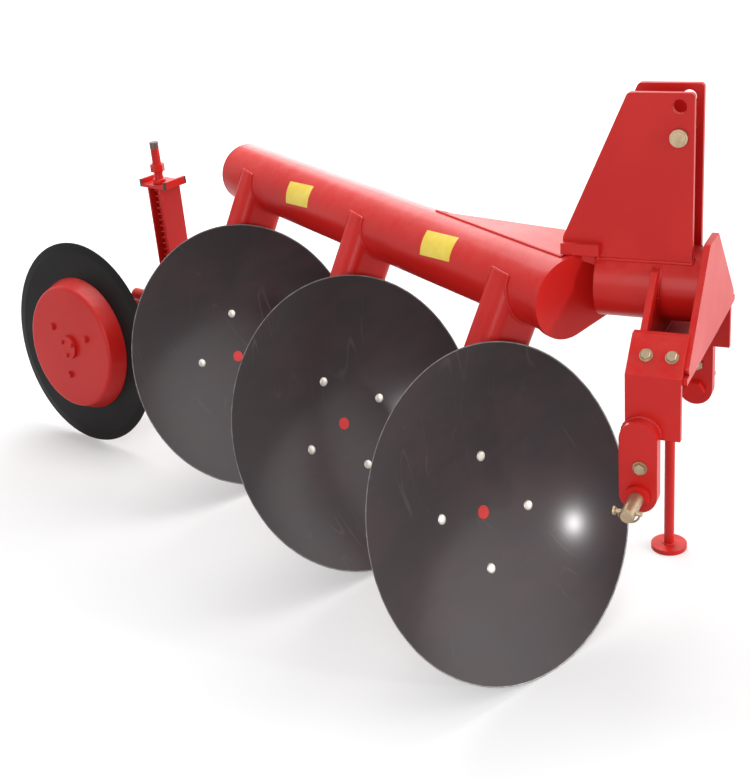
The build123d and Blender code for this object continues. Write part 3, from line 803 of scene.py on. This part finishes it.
def linch_pin(mesh, centre, way, down, size):
    """A rod through a pin, with a head and a sprung half ring that closes under the pin."""
    start = centre - way * size.half
    rod(mesh, placed(start, way), size.radius, 2 * size.half, LINCH_SIDES)
    rod(mesh, placed(start, -way), size.radius * LINCH_HEAD, size.radius, LINCH_SIDES)
    turns = [pi * k / LINCH_RING_STEPS for k in range(LINCH_RING_STEPS + 1)]
    points = [centre + (down * sin(a) - way * cos(a)) * size.ring for a in turns]
    wire(mesh, points, size.radius * LINCH_RING_WIRE)


def add_linch_pins():
    """One linch pin in each lower link pin, and a smaller one in the mast's pin."""
    mesh = bmesh.new()
    for name, side in SIDES:
        pin = "lower_pin_" + name
        centre = middle_of(pin)
        centre.y = outer_face(pin, side) - side * LINK_LINCH_INSET
        linch_pin(mesh, centre, FORWARD, -UP, LINK_LINCH)
    centre = middle_of("mast_pin")
    centre.y = outer_face("mast_pin", 1) - MAST_LINCH_INSET
    linch_pin(mesh, centre, UP, -FORWARD, MAST_LINCH)
    finish_piece("linch_pins", mesh, zinc, "frame")


# Cross pin of the stand: its bend is (left, up) in millimetres
STAND_PIN_RISE = 40 * MM
STAND_PIN_BEND = [(-30, 0), (24, 0), (30, -2), (32, -8), (32, -38)]
STAND_PIN_RADIUS = 4 * MM
STAND_PIN_SIDES = 12


def add_stand_pin():
    """A cross pin with a bent handle that holds the stand in its sleeve."""
    centre = middle_of("stand_sleeve")
    centre.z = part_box("stand_sleeve")[0].z + STAND_PIN_RISE
    points = [centre + (LEFT * y + UP * z) * MM for y, z in STAND_PIN_BEND]
    mesh = bmesh.new()
    wire(mesh, points, STAND_PIN_RADIUS, STAND_PIN_SIDES)
    finish_piece("stand_pin", mesh, zinc, "frame")


# Adjusting screw with its spring, thread, lock nut and bare tip
STEPS_A_TURN = 28
SPRING_TURNS = 17
SPRING_COIL = 15 * MM
SPRING_WIRE = 2.9 * MM
SCREW_RADIUS = 11 * MM
THREAD_PITCH = 4 * MM
THREAD_WIRE = 1 * MM
THREAD_SIDES = 5
THREAD_START = 10 * MM
LOCK_NUT_CORNER = 19 * MM
LOCK_NUT_HEIGHT = 13 * MM
LOCK_NUT_BEVEL = 2 * MM
LOCK_NUT_SEAT = 8 * MM
TIP_LENGTH = 16 * MM
TIP_SKIN = 0.2 * MM
TIP_RADIUS = 11.6 * MM
TIP_BEVEL = 0.4 * MM
TIP_SIDES = 24
screw_axis = middle_of("spring")
screw_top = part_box("adjusting_screw")[1].z
plate_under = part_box("cross_plate")[0].z


def helix(radius, low, rise, turns):
    """Points that wind up round the screw."""
    count = turns * STEPS_A_TURN
    ring = round_points(upright(screw_axis, 0), radius, STEPS_A_TURN)
    return [ring[k % STEPS_A_TURN] + UP * (low + rise * k / count) for k in range(count + 1)]


def add_spring():
    """The spring as an open coil in place of its solid."""
    low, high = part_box("spring")
    rise = high.z - low.z - 2 * SPRING_WIRE
    mesh = bmesh.new()
    wire(mesh, helix(SPRING_COIL, low.z + SPRING_WIRE, rise, SPRING_TURNS), SPRING_WIRE)
    spring = finish_piece("spring_coil", mesh, red, "frame", SMOOTH_WIRE)
    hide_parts("spring")


def add_screw_thread():
    """The painted thread, with a lock nut on the cross plate."""
    low = plate_under + THREAD_START
    turns = int((screw_top - TIP_LENGTH - low) / THREAD_PITCH)
    mesh = bmesh.new()
    wire(mesh, helix(SCREW_RADIUS, low, THREAD_PITCH * turns, turns), THREAD_WIRE, THREAD_SIDES)
    nut_place = upright(screw_axis, plate_under + LOCK_NUT_SEAT)
    hexagon_nut(mesh, nut_place, LOCK_NUT_CORNER, LOCK_NUT_HEIGHT, LOCK_NUT_BEVEL)
    finish_piece("screw_thread", mesh, red, "frame")


def add_screw_tip():
    """The screw's bare tip, a thin skin over its end."""
    mesh = bmesh.new()
    tip_place = upright(screw_axis, screw_top - TIP_LENGTH)
    bevelled_rod(mesh, tip_place, TIP_RADIUS, TIP_LENGTH + TIP_SKIN, TIP_BEVEL, TIP_SIDES)
    finish_piece("screw_tip", mesh, dark_steel, "frame")


# Weld beads. Seams pair a piece with the neighbour that it is cut to, and are found on the solids themselves.
BEAD_RADIUS = 3.6 * MM
BEAD_STEP = 2.5 * MM
BEAD_SIDES = 6
BEAD_RIPPLE = 0.14
RIPPLE_STEPS = 3
FEWEST_POINTS = 4
CLOSED_WITHIN = 0.1 * MM
CIRCLE_STEPS = 48
SEAM_REACH = 2 * MM
SEAM_FACING = -0.8
LINK_X = 252 * MM
LINK_TOP = 496 * MM
LINK_HALF = 35 * MM
LINK_STEPS = 30
STAND_RADIUS = 11 * MM
STAND_BEAD = 3 * MM
FOOT_TOP = 10 * MM
SEAMS = [
    ("top_gusset", "main_tube"),
    ("end_plate", "headstock_tube"),
    ("hitch_rear_plate", "headstock_tube"),
    ("mast_plate_right", "headstock_tube"),
    ("mast_plate_left", "headstock_tube"),
    *[(f"leg_{n}", "main_tube") for n in range(1, DISC_COUNT + 1)],
    *[(f"leg_{n}", f"bearing_housing_{n}") for n in range(1, DISC_COUNT + 1)],
    ("tail_arm", f"leg_{DISC_COUNT}"),
    ("tail_arm", "spring_channel"),
    ("wheel_axle", "wheel_arm"),
]


def seat_edges(name, neighbour):
    """A node's places, and the two ends of each edge round its faces that lie on a neighbour."""
    skin = bmesh.new()
    skin.from_mesh(nodes[name].data)
    bmesh.ops.remove_doubles(skin, verts=skin.verts, dist=SAME_POINT)
    skin.verts.index_update()
    other = skin_tree(neighbour)
    seat = set()
    for face in skin.faces:
        _, normal, _, distance = other.find_nearest(face.calc_center_median())
        if distance < SEAM_REACH and face.normal.dot(normal) < SEAM_FACING:
            seat.add(face)
    places = [vert.co.copy() for vert in skin.verts]
    round_seat = [edge for edge in skin.edges if sum(face in seat for face in edge.link_faces) == 1]
    pairs = [tuple(vert.index for vert in edge.verts) for edge in round_seat]
    skin.free()
    return places, pairs


def seam_chains(name, neighbour):
    """Ordered points round the faces of a node that lie on a neighbour."""
    places, pairs = seat_edges(name, neighbour)
    links = {}
    for first, second in pairs:
        links.setdefault(first, []).append(second)
        links.setdefault(second, []).append(first)
    chains = []
    while links:
        start = next((vert for vert, others in links.items() if len(others) == 1), next(iter(links)))
        chain = [start]
        while links.get(chain[-1]):
            here = chain[-1]
            following = links[here].pop()
            links[following].remove(here)
            chain.append(following)
        for vert in set(chain):
            if not links.get(vert):
                links.pop(vert, None)
        chains.append([places[vert] for vert in chain])
    return chains


def even_points(points, step):
    """Points at even steps along a chain."""
    out = [points[0]]
    left = step
    for first, second in zip(points, points[1:]):
        length = (second - first).length
        while left <= length:
            out.append(first.lerp(second, left / length))
            left += step
        left -= length
    return out


def weld(mesh, points, radius=BEAD_RADIUS):
    """Add a rippled bead along a chain of points."""
    closed = (points[0] - points[-1]).length < CLOSED_WITHIN
    even = even_points(points, BEAD_STEP)
    if closed and (even[0] - even[-1]).length < BEAD_STEP / 2:
        even.pop()
    if len(even) >= FEWEST_POINTS:
        wire(mesh, even, radius, BEAD_SIDES, closed, BEAD_RIPPLE, RIPPLE_STEPS)


def weld_round(mesh, place, radius, bead=BEAD_RADIUS):
    """Add a bead round a placing matrix's Z."""
    points = round_points(place, radius, CIRCLE_STEPS)
    weld(mesh, points + points[:1], bead)


def add_weld_beads():
    """The beads along the seams, round both tubes' ends, under the hitch plates and over the link plates."""
    mesh = bmesh.new()
    for name, neighbour in SEAMS:
        for chain in seam_chains(name, neighbour):
            weld(mesh, chain)
    weld_round(mesh, placed(tube_start, beam_way), TUBE_RADIUS)
    front_low, front_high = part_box("hitch_front_plate")
    headstock_end = middle_of("headstock_tube")
    headstock_end.x = front_low.x
    weld_round(mesh, placed(headstock_end, FORWARD), HEADSTOCK_RADIUS)
    rear_low, rear_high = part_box("hitch_rear_plate")
    for x in (front_low.x, rear_low.x, rear_high.x):
        weld(mesh, [Vector((x, y, front_low.z)) for y in (front_low.y, front_high.y)])
    turns = [pi * k / LINK_STEPS for k in range(LINK_STEPS + 1)]
    for name, side in SIDES:
        centre = at(LINK_X, 0, LINK_TOP)
        centre.y = outer_face("hitch_bracket_" + name, side)
        weld(mesh, [centre + (FORWARD * cos(a) + UP * sin(a)) * LINK_HALF for a in turns])
    finish_piece("weld_beads", mesh, weld_red, "frame", SMOOTH_WIRE)


def add_stand_weld():
    """The bead between the stand's leg and its foot, which moves with them."""
    mesh = bmesh.new()
    weld_round(mesh, upright(middle_of("stand_leg"), FOOT_TOP), STAND_RADIUS, STAND_BEAD)
    finish_piece("stand_weld", mesh, weld_red, "stand", SMOOTH_WIRE)


# The photograph's camera: its place from the front disc's hollow, its angles, and its focal length in pixels
CAMERA_FROM_DISC = Vector((853.7, -2098.0, 1322.2)) * MM
CAMERA_AZIMUTH = 26.937
CAMERA_ELEVATION = 24.715
CAMERA_ROLL = 5.289
FOCAL_PIXELS = 1330.33
PHOTO_HEIGHT = 780
SENSOR_MM = 36.0


def aim_camera():
    """The photograph's camera, with its small roll."""
    azimuth, elevation, roll = radians(CAMERA_AZIMUTH), radians(CAMERA_ELEVATION), radians(CAMERA_ROLL)
    back = Vector((sin(azimuth) * cos(elevation), -cos(azimuth) * cos(elevation), sin(elevation)))
    level = Vector((cos(azimuth), sin(azimuth), 0))
    right = level * cos(roll) - back.cross(level) * sin(roll)
    camera = bpy.data.objects.new("camera", bpy.data.cameras.new("camera"))
    camera.data.sensor_width = SENSOR_MM
    camera.data.lens = FOCAL_PIXELS * SENSOR_MM / PHOTO_HEIGHT
    aim = Matrix((right, back.cross(right), back)).transposed().to_4x4()
    camera.matrix_world = Matrix.Translation(disc_vertex[0] + CAMERA_FROM_DISC) @ aim
    bpy.context.scene.collection.objects.link(camera)
    bpy.context.scene.camera = camera
    return camera


# Floor: a wide square, with the glow that keeps it white near the plough and far from it
FLOOR_HALF = 40.0
FLOOR_COLOUR = (0.6, 0.6, 0.6)
FLOOR_ROUGHNESS = 0.9
FLOOR_GLOSS = 0.1
GLOW_NEAR = 0.28
GLOW_FAR = 0.64
GLOW_REACH = (1.0, 4.0)


def lay_floor():
    """A wide pale floor that stays white behind the plough and keeps its shadow."""
    data = bpy.data.meshes.new("floor")
    half = FLOOR_HALF
    corners = [(-half, -half), (half, -half), (half, half), (-half, half)]
    data.from_pydata([(x, y, 0) for x, y in corners], [], [(0, 1, 2, 3)])
    floor = bpy.data.objects.new("floor", data)
    bpy.context.scene.collection.objects.link(floor)
    n = Nodes(bpy.data.materials.new("floor"))
    away = n.add("ShaderNodeVectorMath", {"Vector": n.place()}, operation="LENGTH").outputs["Value"]
    glow = n.between(n.ramp(away, *GLOW_REACH), GLOW_NEAR, GLOW_FAR)
    n.shade(
        Base_Color=FLOOR_COLOUR,
        Roughness=FLOOR_ROUGHNESS,
        Specular_IOR_Level=FLOOR_GLOSS,
        Emission_Color=WHITE,
        Emission_Strength=n.times(n.seen_by_eye(), glow),
    )
    data.materials.append(n.owner)


# Studio: its own light, and a bright wall in front, by its turn to the left, its rise and its spread
WORLD_LEVEL = 0.5
SEEN_LEVEL = 1.0
WALL_LEVEL = 3.4
WALL_TURN = 22
WALL_RISE = 22
WALL_SPREAD = 38


def light_world():
    """A white studio round the plough, with a bright wall in front of it that fades out to its sides."""
    world = bpy.data.worlds.new("studio")
    n = Nodes(world)
    turned, rise = radians(WALL_TURN), radians(WALL_RISE)
    wall_way = (cos(rise) * cos(turned), cos(rise) * sin(turned), sin(rise))
    facing = n.along(n.add("ShaderNodeTexCoord").outputs["Generated"], wall_way)
    fade = {"Value": facing, "From Min": cos(radians(WALL_SPREAD)), "To Max": WALL_LEVEL}
    wall = n.add("ShaderNodeMapRange", fade, interpolation_type="SMOOTHSTEP").outputs["Result"]
    level = n.between(n.seen_by_eye(), WORLD_LEVEL, SEEN_LEVEL)
    background = n.tree.nodes["Background"]
    n.set(background.inputs["Color"], WHITE)
    n.set(background.inputs["Strength"], n.math("ADD", level, wall))
    bpy.context.scene.world = world


# Soft boxes: name, place, width, depth and watts
SOFT_BOXES = [
    ("overhead", (-0.4, 0.9, 3.5), 3.2, 1.4, 75),
    ("side", (0.6, -4.8, 2.2), 3.0, 2.0, 85),
    ("back", (-1.4, 3.6, 2.2), 4.2, 2.2, 95),
]
PLOUGH_MIDDLE = Vector((0, 0, 0.5))

# The small lamp that makes the front disc's highlight, by the highlight's place on the disc
GLINT_RADIUS = 215 * MM
GLINT_TURN = -118
GLINT_AWAY = 8.0
GLINT_SIZE = 0.3
GLINT_POWER = 140


def soft_light(name, place, target, width, depth, power):
    """A soft box that faces a target."""
    lamp = bpy.data.lights.new(name, "AREA")
    lamp.shape = "RECTANGLE"
    lamp.size = width
    lamp.size_y = depth
    lamp.energy = power
    light = bpy.data.objects.new(name, lamp)
    light.matrix_world = placed(place, place - target)
    bpy.context.scene.collection.objects.link(light)


def glint_place(camera):
    """Where a lamp stands so that the front disc mirrors it to the camera at a spot of its hollow."""
    place = placed(disc_vertex[0], disc_axis)
    radius, height = dish_point(GLINT_RADIUS)
    spot = round_points(place, radius, 1, radians(GLINT_TURN), height)[0]
    normal = (place @ Vector((0, 0, dish_sphere)) - spot).normalized()
    view = (camera.matrix_world.translation - spot).normalized()
    return spot + (normal * 2 * normal.dot(view) - view) * GLINT_AWAY


dress_nodes()
for number, vertex in enumerate(disc_vertex, 1):
    add_disc(number, vertex)
    add_disc_bolts(number, vertex)
add_bearing_cap_bolts()
add_drum_bolts()
for name, station, rise in STICKERS:
    add_sticker(name, station, rise)
add_hitch_bolts()
add_linch_pins()
add_stand_pin()
add_spring()
add_screw_thread()
add_screw_tip()
add_weld_beads()
add_stand_weld()

camera = aim_camera()
lay_floor()
light_world()
for name, place, width, depth, power in SOFT_BOXES:
    soft_light(name, Vector(place), PLOUGH_MIDDLE, width, depth, power)
soft_light("glint", glint_place(camera), disc_vertex[0], GLINT_SIZE, GLINT_SIZE, GLINT_POWER)

bpy.context.scene.view_settings.view_transform = "Standard"
